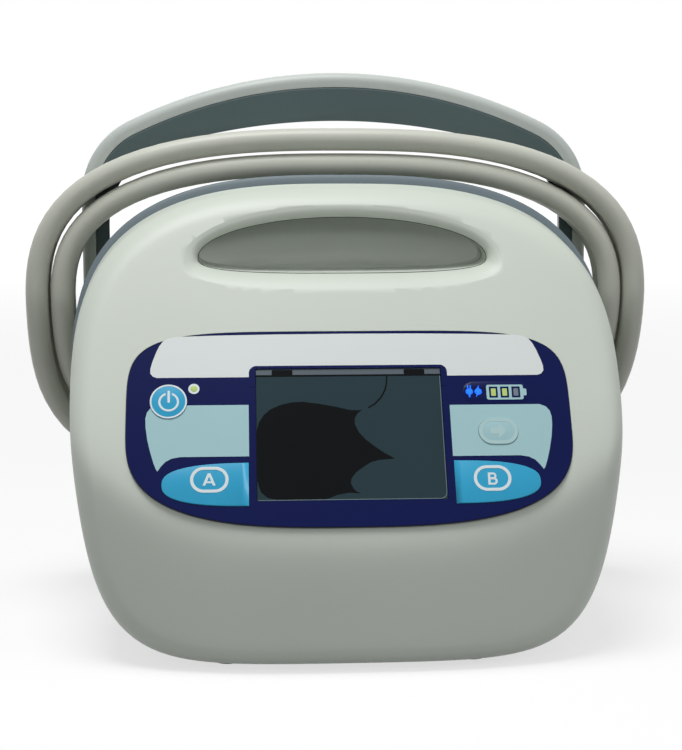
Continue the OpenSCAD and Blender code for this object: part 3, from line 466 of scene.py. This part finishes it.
collar = solid("tool", [[(x, parting(z) - 0.1, z) for x, z in (slot_pt(a, WALL) for a in around(120))],
                        slot_ring(WALL, 1.5)])
combine(shell, collar, "UNION")
FLARE = 6.0
slot_tool = solid("tool", [slot_flat(0, 70)] + [slot_ring(FLARE * (1 - math.sin(p)), FLARE * (1 - math.cos(p)))
                  for p in (math.radians(90 - 7 * k) for k in range(12))] + [slot_ring(FLARE + 0.1, -0.6), slot_ring(FLARE + 2, -14)])
combine(shell, slot_tool)
combine(shell, block("tool", (-150, -150, -50), (150, 150, FLOOR_Z)))
combine(shell, plate("tool", panel_pts(0.25), -0.8, 12, tool=True))
POWER_AT = (-61.6, 50.7)
HOLES = [rounded(-32.3, 14, 32.3, 63.2, 0.5), circle(*POWER_AT, 6.6), side_key(0.3), side_key(0.3, 1), next_key(0.3),
         circle(-53, 55.3, 1.85), circle(41.5, 53.6, 1.35), circle(44.6, 53.6, 1.35)] + \
        [rounded(48.45 + 3.9 * k, 51.2, 51.65 + 3.9 * k, 55.2, 0.1, 2) for k in range(3)]
for pts in HOLES:
    combine(shell, plate("tool", pts, -6, 12, tool=True))
finished(shell, "housing", "white_housing")
stands_for(shell, "front_shell")

# ---------------------------------------------------------------- grip band: one closed loop of rounded section
def band_section(a):
    prof = [(-1, 0), (-1, 0.6)] + [(-1 + 0.55 * (1 - math.cos(math.radians(15 * k))), 0.6 + 0.4 * math.sin(math.radians(15 * k))) for k in range(1, 7)]
    prof += [(-p[0], p[1]) for p in reversed(prof)]
    pts = []
    for b, h in prof:
        x, z = outline(a, BODY_W, BAND_TOP, BAND_IN * (1 - h))
        z = max(z, FLOOR_Z + 0.1 + 3 * (1 - h))
        pts.append((x, parting(z) + BAND_W / 2 + b * (BAND_W / 2 - 0.05), z))
    return pts


bm = bmesh.new()
angles = around(220)
start = ring = first_ring(bm, band_section(angles[0]))
for a in angles[1:]:
    ring = next_ring(bm, ring, band_section(a))
next_ring(bm, ring, band_section(angles[0]))
bmesh.ops.remove_doubles(bm, verts=bm.verts, dist=1e-7)
bmesh.ops.recalc_face_normals(bm, faces=bm.faces)
band = to_object("grip_band_ring", bm, angle=40)
stands_for(band, "grip_band")

# ---------------------------------------------------------------- rear housing
def waist(inset, n, turns):
    rings = [flat(REAR_W, RIDGE_Z, inset + BACK_R * (1 - math.cos(p)), BACK_Y - 1 - inset - BACK_R * (1 - math.sin(p)), n)
             for p in (math.pi / 2 * (1 - k / turns) for k in range(turns + 1))]
    steps = []
    for (y0, w0), (y1, w1) in zip(WAIST, WAIST[1:]):
        steps += [(y0 + (y1 - y0) * k / 3, w0 + (w1 - w0) * k / 3) for k in range(3)]
    steps.append(WAIST[-1])
    smooth = []
    for i, (y, w) in enumerate(steps):
        near = steps[max(0, i - 2):i + 3]
        smooth.append((y, sum(q[1] for q in near) / len(near)))
    return rings + [flat(REAR_W, DECK_Z + (RIDGE_Z - DECK_Z) * w, inset, y, n) for y, w in reversed(smooth)]


rear = solid("rear_housing_skin", waist(0, 180, 8))
flange = solid("tool", [flat(BODY_W - 1.6, SHELL_TOP - 1, 1.6, FLANGE_BACK, 180)]
               + [flat(BODY_W - 1.6, SHELL_TOP - 1, 1.6 * (1 - math.cos(p)), FLANGE_BACK - 1.6 * (1 - math.sin(p)), 180)
                  for p in (math.radians(90 - 22.5 * k) for k in range(1, 5))]
               + [joint_ring(BODY_W - 1.6, SHELL_TOP - 1, 0, BAND_W + 0.1, 180)])
combine(rear, flange, "UNION")
cavity = solid("cavity", waist(WALL, 96, 4))
combine(cavity, solid("tool", [flat(BODY_W - 1.6, DECK_Z - 1, WALL, FLANGE_BACK - WALL, 96), flat(BODY_W - 1.6, DECK_Z - 1, WALL, -60, 96)]), "UNION")
for s in (-1, 1):
    for x, z in ((72, 36), (88, 92)):
        combine(cavity, disc("tool", (s * x, FLANGE_BACK + 4.3, z), (0, -1, 0), 5.6, 5.0, 60, 32))
combine(rear, cavity)
combine(rear, solid("tool", [slot_flat(0, FLANGE_BACK + 2), slot_flat(0, -36)]))
combine(rear, block("tool", (-150, -150, -50), (150, 150, FLOOR_Z)))
combine(rear, block("tool", (-22.5, -3.5, -10), (58, 39.5, FLOOR_Z + 2.3)))
for s in (-1, 1):
    combine(rear, disc("tool", (s * 30, BACK_Y + 5, 98), (0, -1, 0), 7.5, 7.5, 12))
    for x, z in ((72, 36), (88, 92)):
        combine(rear, disc("tool", (s * x, BACK_Y + 5, z), (0, -1, 0), 3.6, 3.6, BACK_Y + 5 - 19.4, 32))
combine(rear, disc("tool", (-8, BACK_Y + 5, 20), (0, -1, 0), 6.2, 6.2, 12))
for k in range(-2, 3):
    combine(rear, block("tool", (-62, BACK_Y - 6, 46 + 4 * k - 0.8), (-46, BACK_Y + 4, 46 + 4 * k + 0.8)))
finished(rear, "housing", "white_housing")
stands_for(rear, "rear_housing")

# ---------------------------------------------------------------- seam of the grip liner inside the handle opening
def hoop(name, sections, material, body="housing"):
    """A closed loop: one small cross-section after another, joined end to end."""
    mesh = bmesh.new()
    ring = first_ring(mesh, sections[0])
    for pts in sections[1:] + [sections[0]]:
        ring = next_ring(mesh, ring, pts)
    bmesh.ops.remove_doubles(mesh, verts=mesh.verts, dist=1e-7)
    bmesh.ops.recalc_face_normals(mesh, faces=mesh.faces)
    made = to_object(name, mesh, body=body, material=material, angle=50)
    return made


def slot_section(a, parts_of):
    pts = []
    for grow, deep in parts_of:
        x, z = slot_pt(a, grow)
        pts.append((x, lean_y(z) + deep, z))
    return pts


hoop("handle_seam", [slot_section(a, ((0.3, 6.1), (-0.18, 6.1), (-0.22, 6.35), (-0.18, 6.6), (0.3, 6.6))) for a in around(140)],
     FINISH["black_rubber"])


# ---------------------------------------------------------------- bed hook: convex light frame with the dark grip pad let in
PIVOT_Y, PIVOT_Z = 48.6, 110.0


def arch_line(half_w, top, r, corner, n_side, n_corner, n_crown, low):
    """Half the arch's edge, from the foot of the right arm up to the middle of the crown."""
    rise = math.sqrt((r - corner) ** 2 - (half_w - corner) ** 2)
    corner_z, turn = top - r + rise, math.atan2(rise, half_w - corner)
    pts = [(half_w, low + (corner_z - low) * k / n_side) for k in range(n_side)]
    pts += [(half_w - corner + corner * math.cos(turn * k / n_corner), corner_z + corner * math.sin(turn * k / n_corner)) for k in range(n_corner)]
    pts += [(r * math.cos(turn + (math.pi / 2 - turn) * k / n_crown), top - r + r * math.sin(turn + (math.pi / 2 - turn) * k / n_crown))
            for k in range(n_crown + 1)]
    return pts


def arch_ring(y, out_in, in_out, low, outer=(97, 202, 180, 32), inner=(87, 184.6, 230, 32)):
    """The whole frame's edge in one plane: along the outside and back along the inside."""
    far = arch_line(outer[0] - out_in, outer[1] - out_in, outer[2] - out_in, outer[3] - out_in, 14, 20, 44, low)
    near = arch_line(inner[0] + in_out, inner[1] + in_out, inner[2] + in_out, inner[3] + in_out, 14, 20, 44, low)
    loop = far + [(-x, z) for x, z in reversed(far[:-1])] + [(-x, z) for x, z in near] + list(reversed(near[:-1]))
    return [(x, y, z) for x, z in loop]


Y0, Y1 = 47.8, 57.0
hook = solid("bed_hook_frame", [arch_ring(Y0 + 3.4 * (1 - math.sin(p)), 3.4 * (1 - math.cos(p)), 1.0 * (1 - math.cos(p)), PIVOT_Z)
                                for p in (math.radians(90 - 15 * k) for k in range(7))]
             + [arch_ring(Y1 - 3.0 * (1 - math.cos(p)), 3.0 * (1 - math.sin(p)), 1.0 * (1 - math.sin(p)), PIVOT_Z)
                for p in (math.radians(90 - 15 * k) for k in range(7))])
for side in (-1, 1):
    bm = bmesh.new()
    bmesh.ops.create_cone(bm, cap_ends=True, segments=64, radius1=8 * MM, radius2=8 * MM, depth=10 * MM)
    rims = [e for e in bm.edges if abs(e.verts[0].co.z - e.verts[1].co.z) < 1e-9]
    bmesh.ops.bevel(bm, geom=rims, offset=1.0 * MM, segments=3, profile=0.5, affect="EDGES", material=-1)
    bmesh.ops.transform(bm, matrix=Matrix.Translation(Vector((side * 92, PIVOT_Y, PIVOT_Z)) * MM) @ Matrix.Rotation(math.pi / 2, 4, "Y"), verts=bm.verts)
    combine(hook, to_object("tool", bm, body=None), "UNION")
LIP = 5.4
pad_outer = (97 - LIP, 202 - LIP, 180 - LIP, 32 - LIP)
combine(hook, solid("tool", [arch_ring(Y0 - 2, 0, -4, 130, outer=pad_outer), arch_ring(Y0 + 3.6, 0, -4, 130, outer=pad_outer)]))
for side in (-1, 1):
    combine(hook, disc("tool", (side * 97 - 15, PIVOT_Y, PIVOT_Z), (1, 0, 0), 3.55, 3.55, 30))
finished(hook, "hook_frame", "light_grey", angle=35)
stands_for(hook, "hook")
pad = solid("hook_grip_pad", [arch_ring(47.6 + 0.7 * (1 - math.sin(p)), 0.1 + 0.7 * (1 - math.cos(p)), -0.7 * (1 - math.cos(p)), 130.1, outer=pad_outer)
                              for p in (math.radians(90 - 18 * k) for k in range(6))]
            + [arch_ring(51.35, 0.1, 0, 130.1, outer=pad_outer)])
finished(pad, "hook_frame", "dark_grey", angle=40)
stands_for(pad, "hook_pad")

# ---------------------------------------------------------------- printed key panel
DISPLAY_HOLE = rounded(-32.0, 14.3, 32.0, 62.9, 0.4)
POWER_HOLE = circle(*POWER_AT, 6.38, 64)
LIGHT_HOLES = [circle(41.5, 53.6, 1.3), circle(44.6, 53.6, 1.3)] \
              + [rounded(48.5 + 3.9 * k, 51.25, 51.6 + 3.9 * k, 55.15, 0.1, 2) for k in range(3)]
overlay = plate("panel_film", panel_pts(), -0.78, 0.02, tool=True)
for pts in [DISPLAY_HOLE, POWER_HOLE, side_key(0.08), side_key(0.08, 1), next_key(0.08), circle(-53, 55.3, 1.8)] + LIGHT_HOLES:
    combine(overlay, plate("tool", pts, -3, 3, tool=True))
finished(overlay, "housing", "navy_overlay", angle=35)
stands_for(overlay, "panel_overlay")
glue_line = plate("panel_glue_line", panel_pts(0.24), -0.79, -0.35, tool=True)
combine(glue_line, plate("tool", panel_pts(-0.6), -3, 3, tool=True))
finished(glue_line, "housing", "black_plastic", angle=35)


def printed(name, pts, material, low=0.02, high=0.07, body="housing", edge=0.0):
    made = plate(name, pts, low, high, material, body=body, round_edge=edge)
    return made


def mirrored(pts):
    return [(-x, y) for x, y in reversed(pts)]


# the bare white label field over the display
left_end = [(-34.2, 59.7), (-65.6, 59.7), (-67.0, 60.2), (-67.9, 61.4), (-67.9, 63.2), (-67.3, 65.6), (-66.0, 69.4),
            (-64.9, 71.9), (-63.7, 73.6), (-61.9, 74.8), (-59.0, 75.3), (-45, 75.7), (-25, 76.0), (0, 76.1)]
label = printed("label_field", left_end + [(-x, y) for x, y in reversed(left_end[:-1])], label_white)
combine(label, plate("tool", rounded(-33.0, 50, 33.0, 62.9, 0.4), -3, 3, tool=True))
TAB_TURN = [math.radians(9 * k) for k in range(11)]
printed("display_tab", [(-34.2, 56), (34.2, 56)]
        + [(34.2 - 2.6 * (1 - math.cos(a)), 61.3 + 2.6 * math.sin(a)) for a in TAB_TURN]
        + [(-34.2 + 2.6 * (1 - math.sin(a)), 61.3 + 2.6 * math.cos(a)) for a in TAB_TURN],
        FINISH["navy_overlay"], high=0.12)
combine(bpy.data.objects["display_tab"], plate("tool", DISPLAY_HOLE, -3, 3, tool=True))

# pale fields beside the display
pale = [(-34.4, 49.3), (-34.4, 30.4), (-57.4, 30.4), (-60.2, 29.9), (-62.3, 28.8), (-63.9, 27.0), (-65.0, 25.3), (-65.5, 26.0),
        (-66.4, 28.4), (-67.6, 32.6), (-68.6, 37.0), (-69.2, 41.5), (-69.3, 44.6), (-68.8, 46.8), (-67.6, 48.4), (-65.5, 49.3)]
printed("pale_field_left", pale, print_pale)
right_pale = [(x, y - 0.7) for x, y in mirrored(pale)]
field = printed("pale_field_right", right_pale, print_pale)
combine(field, plate("tool", next_key(0.08), -3, 3, tool=True))
field = bpy.data.objects["pale_field_left"]
combine(field, plate("tool", POWER_HOLE, -3, 3, tool=True))

# ---------------------------------------------------------------- moulded keys with their printed signs
KEYS = (("power_cap", "power_button", "power_key", circle(*POWER_AT, 6.3, 72), "blue_key"),
        ("left_channel_cap", "a_button", "a_key", side_key(0, -1), "blue_key"),
        ("right_channel_cap", "b_button", "b_key", side_key(0, 1), "blue_key"),
        ("advance_cap", "next_button", "next_key", next_key(0), "pale_key"))
for name, node_name, body, pts, slot_name in KEYS:
    cap_piece = plate(name, pts, -2.9, 0.4, FINISH[slot_name], body=body, round_edge=0.22, steps=3)
    stands_for(cap_piece, node_name)


def ring_print(name, outer, inner, material, body, low=0.4, high=0.5, gap=None, extra=()):
    made = plate(name, outer, low, high, tool=True)
    combine(made, plate("tool", inner, low - 1, high + 1, tool=True))
    if gap:
        combine(made, plate("tool", gap, low - 1, high + 1, tool=True))
    for pts in extra:
        combine(made, plate("tool", pts, low, high, tool=True), "UNION")
    finished(made, body, "pale_key", material=material, angle=35)
    return made


ring_print("power_ring", circle(*POWER_AT, 6.28, 72), circle(*POWER_AT, 5.72, 72), print_white, "power_key", high=0.46)
ring_print("power_sign", circle(-61.5, 50.5, 3.5, 56), circle(-61.5, 50.5, 2.78, 56), print_white, "power_key", high=0.46,
           gap=rounded(-62.6, 51, -60.4, 56, 0.1, 2), extra=[rounded(-61.92, 50.2, -61.08, 54.7, 0.3, 4)])
ring_print("left_ring", rounded(-54.1, 17.4, -41.3, 26.6, 4.5, 12), rounded(-53.05, 18.45, -42.35, 25.55, 3.5, 12), print_white, "a_key", high=0.52)
ring_print("right_ring", rounded(40.9, 16.8, 53.6, 26.0, 4.5, 12), rounded(41.95, 17.85, 52.55, 24.95, 3.5, 12), print_white, "b_key", high=0.52)
faint_white = moulded("faint_white", shade(176, 207, 208), 0.32, 2200, 0.03, 0.02)
ring_print("advance_ring", rounded(43.8, 33.9, 57.2, 43.3, 4.6, 12), rounded(45.0, 35.1, 56.0, 42.1, 3.5, 12), faint_white, "next_key", high=0.46)
# letters of the two channels; a sign without a hole gets a speck of a tool beside it
NO_HOLE, NO_HOLE_RIGHT = circle(-60, 30, 0.1, 8), circle(60, 30, 0.1, 8)
ring_print("left_letter", [(-50.0, 19.9), (-49.1, 19.9), (-47.8, 23.1), (-46.5, 19.9), (-45.6, 19.9), (-47.35, 24.3), (-48.25, 24.3)], NO_HOLE,
           print_white, "a_key", high=0.46, extra=[rounded(-49.0, 20.75, -46.6, 21.4, 0.05, 1)])
ring_print("right_letter", rounded(45.7, 21.0, 48.6, 23.4, (0.05, 1.15, 1.15, 0.05), 5),
           rounded(46.5, 21.7, 47.95, 22.7, (0.05, 0.5, 0.5, 0.05), 4), print_white, "b_key", high=0.46)
ring_print("right_letter_bowl", rounded(45.7, 19.0, 48.9, 21.6, (0.05, 1.25, 1.25, 0.05), 5),
           rounded(46.5, 19.7, 48.15, 20.9, (0.05, 0.55, 0.55, 0.05), 4), print_white, "b_key", high=0.455)
ring_print("advance_arrow", [(47.8, 37.5), (50.6, 37.5), (50.6, 35.9), (53.3, 38.6), (50.6, 41.3), (50.6, 39.7), (47.8, 39.7)],
           NO_HOLE_RIGHT, faint_white, "next_key", high=0.46)

# ---------------------------------------------------------------- status light, battery gauge and mains signs
ring_print("status_bezel", circle(-53, 55.4, 1.9, 48), circle(-53, 55.4, 1.15, 48), print_white, "housing", low=0.06, high=0.26)
lens = plate("status_lens", circle(-53, 55.4, 1.13, 40), 0.05, 0.4, FINISH["led_green"], round_edge=0.25, steps=4)
pill = plate("gauge_pill", rounded(39.1, 49.0, 62.4, 57.3, 4.1, 12), -0.3, 0.12, tool=True, round_edge=0.1)
for pts in LIGHT_HOLES:
    combine(pill, plate("tool", pts, -3, 3, tool=True))
finished(pill, "housing", "navy_overlay", angle=35)
CELLS = [rounded(48.35 + 3.9 * k, 51.1, 51.3 + 3.9 * k, 55.3, 0.2, 3) for k in range(3)]
gauge = plate("battery_outline", rounded(47.4, 50.4, 60.2, 56.0, 0.7, 4), 0.12, 0.16, tool=True)
combine(gauge, plate("tool", rounded(60.1, 51.9, 61.3, 54.5, (0.05, 0.4, 0.4, 0.05), 3), 0.12, 0.16, tool=True), "UNION")
for pts in CELLS:
    combine(gauge, plate("tool", pts, -3, 3, tool=True))
finished(gauge, "housing", "pale_key", material=print_pale, angle=35)
unlit = moulded("unlit_cell", shade(112, 124, 134), 0.35, 2200, 0.02, 0.05)
for k, pts in enumerate(CELLS):
    cell_frame = plate("cell_frame_%d" % k, pts, -0.05, 0.15, FINISH["navy_overlay"])
    light = plate("cell_light_%d" % k, rounded(49.0 + 3.9 * k, 51.8, 50.65 + 3.9 * k, 54.6, 0.15, 2), 0.15, 0.18, FINISH["led_green"] if k < 2 else unlit)
BOLT = [(44.9, 55.9), (43.1, 53.2), (44.2, 53.4), (43.7, 51.3), (45.8, 54.2), (44.7, 54.0)]
PLUG = [(40.7, 54.6), (42.3, 54.6), (42.3, 53.3), (41.8, 52.5), (41.75, 51.4), (41.25, 51.4), (41.2, 52.5), (40.7, 53.3)]
for name, pts in (("mains_bolt", BOLT), ("mains_plug_sign", PLUG)):
    plate(name, pts, -0.02, 0.17, FINISH["led_blue"])
for k, x in enumerate((40.85, 41.75)):
    plate("mains_prong_%d" % k, rounded(x, 54.8, x + 0.4, 55.9, 0.1, 2), -0.02, 0.17, FINISH["led_blue"])

# ---------------------------------------------------------------- display: picture, dark bleed, bezel strip and a painted highlight along the lower and right edge of the glass
DEEP = -0.4
strip = moulded("bezel_strip", shade(78, 90, 98), 0.3, 2000, 0.02, 0.04)
ink = moulded("display_ink", shade(9, 14, 18), 0.2, 2000, 0.0, 0.1, gloss_level=0.1)
# pale grey for the painted highlight along the lower and right edges of the display glass
glass_highlight_grey = moulded("glass_edge_highlight", shade(105, 124, 132), 0.3, 2000, 0.0, 0.05)
printed("bezel_strip", rounded(-31.8, 60.5, 31.8, 62.7, 0.2, 2), strip, DEEP, DEEP + 0.03)
printed("bezel_line", rounded(-31.8, 59.95, 31.8, 60.6, 0.1, 2), ink, DEEP, DEEP + 0.05)
for k, x in enumerate((-26.4, 19.2)):
    printed("bezel_block_%d" % k, rounded(x, 60.5, x + 7.2, 62.5, 0.2, 2), ink, DEEP, DEEP + 0.04)
BLEED = [(-31.75, 40.2), (-30.9, 43.1), (-29.2, 45.7), (-26.9, 47.8), (-23.7, 49.3), (-20.1, 50.2), (-16.1, 50.5),
         (-10.0, 49.6), (-4.2, 48.4), (0.2, 47.2), (4.2, 47.1), (2.6, 45.9), (1.7, 44.2), (1.6, 42.0), (2.9, 38.9), (5.0, 36.4), (7.5, 34.2), (11.0, 31.5), (14.7, 29.2),
         (9.6, 28.8), (6.8, 28.1), (4.4, 26.6), (1.4, 24.4), (-0.2, 22.2), (-0.5, 20.6), (0.3, 18.6), (1.3, 17.5), (2.8, 16.8), (-1.2, 17.1),
         (-5.3, 16.3), (-8.6, 14.9), (-24.5, 14.7), (-28.4, 15.6), (-30.6, 17.6), (-31.75, 21.7)]
printed("display_bleed", BLEED, ink, DEEP, DEEP + 0.03)
arc = [(13.3, 59.9), (13.1, 57.4), (12.5, 54.7), (11.0, 51.9), (8.9, 49.6), (6.5, 48.0)]
printed("display_crack", [(x + 0.25, y - 0.15) for x, y in arc] + [(x - 0.25, y + 0.15) for x, y in reversed(arc)],
        ink, DEEP, DEEP + 0.03)
# thin pale strip on the lower and right edges of the display window: a painted highlight where light catches the glass
# edge
ring_print("glass_edge_highlight", rounded(-31.7, 14.55, 31.75, 59.9, (0.4, 2.2, 0.3, 0.3), 6),
           rounded(-31.9, 14.8, 31.5, 60.2, (0.4, 2.0, 0.3, 0.3), 6), glass_highlight_grey, "housing", low=DEEP, high=DEEP + 0.05)

# ---------------------------------------------------------------- lamps, world and floor
def seen_directly(tree):
    """1 for rays that show the background itself, in the picture, in gloss or through glass."""
    rays = tree.nodes.new("ShaderNodeLightPath")
    total = rays.outputs["Is Camera Ray"]
    for ray in ("Is Glossy Ray", "Is Transmission Ray"):
        either = tree.nodes.new("ShaderNodeMath")
        either.operation = "MAXIMUM"
        tree.links.new(total, either.inputs[0])
        tree.links.new(rays.outputs[ray], either.inputs[1])
        total = either.outputs["Value"]
    return total


world = bpy.data.worlds.new("studio")
bpy.context.scene.world = world
world.use_nodes = True
wt = world.node_tree
soft = wt.nodes["Background"]
soft.inputs["Color"].default_value, soft.inputs["Strength"].default_value = (0.95, 0.98, 1.0, 1), 0.30
plain = wt.nodes.new("ShaderNodeBackground")
plain.inputs["Color"].default_value, plain.inputs["Strength"].default_value = (1, 1, 1, 1), 1.0
mix = wt.nodes.new("ShaderNodeMixShader")
wt.links.new(seen_directly(wt), mix.inputs[0])
wt.links.new(soft.outputs["Background"], mix.inputs[1])
wt.links.new(plain.outputs["Background"], mix.inputs[2])
wt.links.new(mix.outputs["Shader"], wt.nodes["World Output"].inputs["Surface"])


def lamp(name, place, target, size, watts, colour=(1, 1, 1)):
    data = bpy.data.lights.new(name, "AREA")
    data.shape, data.size, data.energy, data.color = "DISK", size, watts, colour
    obj = bpy.data.objects.new(name, data)
    bpy.context.scene.collection.objects.link(obj)
    obj.location = place
    obj.rotation_mode = "QUATERNION"
    obj.rotation_quaternion = (Vector(target) - Vector(place)).to_track_quat("-Z", "Y")


lamp("lamp_above", (-0.12, -0.14, 1.1), (0, 0, 0.1), 0.5, 7.4)
lamp("lamp_front", (-0.55, -1.1, 0.75), (0, 0, 0.1), 0.25, 0.9, (1, 0.99, 0.97))
lamp("lamp_side", (0.9, -0.5, 0.6), (0, 0, 0.1), 0.4, 1.0)

bm = bmesh.new()
bmesh.ops.create_grid(bm, x_segments=1, y_segments=1, size=12)
floor = to_object("floor", bm, body=None)
m, t, p = node_material("floor_pale")
p.inputs["Base Color"].default_value = (0.36, 0.36, 0.36, 1)
p.inputs["Roughness"].default_value = 0.95
p.inputs["Specular IOR Level"].default_value = 0.0
where = t.nodes.new("ShaderNodeTexCoord")
away = t.nodes.new("ShaderNodeVectorMath")
away.operation = "LENGTH"
t.links.new(where.outputs["Object"], away.inputs[0])
rise = t.nodes.new("ShaderNodeMapRange")
for socket, value in (("From Min", 0.35), ("From Max", 2.2), ("To Min", 0.66), ("To Max", 0.98)):
    rise.inputs[socket].default_value = value
t.links.new(away.outputs["Value"], rise.inputs["Value"])
lift = t.nodes.new("ShaderNodeMath")
lift.operation = "MULTIPLY"
t.links.new(rise.outputs["Result"], lift.inputs[1])
t.links.new(seen_directly(t), lift.inputs[0])
p.inputs["Emission Color"].default_value = (1, 1, 1, 1)
t.links.new(lift.outputs["Value"], p.inputs["Emission Strength"])
floor.data.materials.append(m)
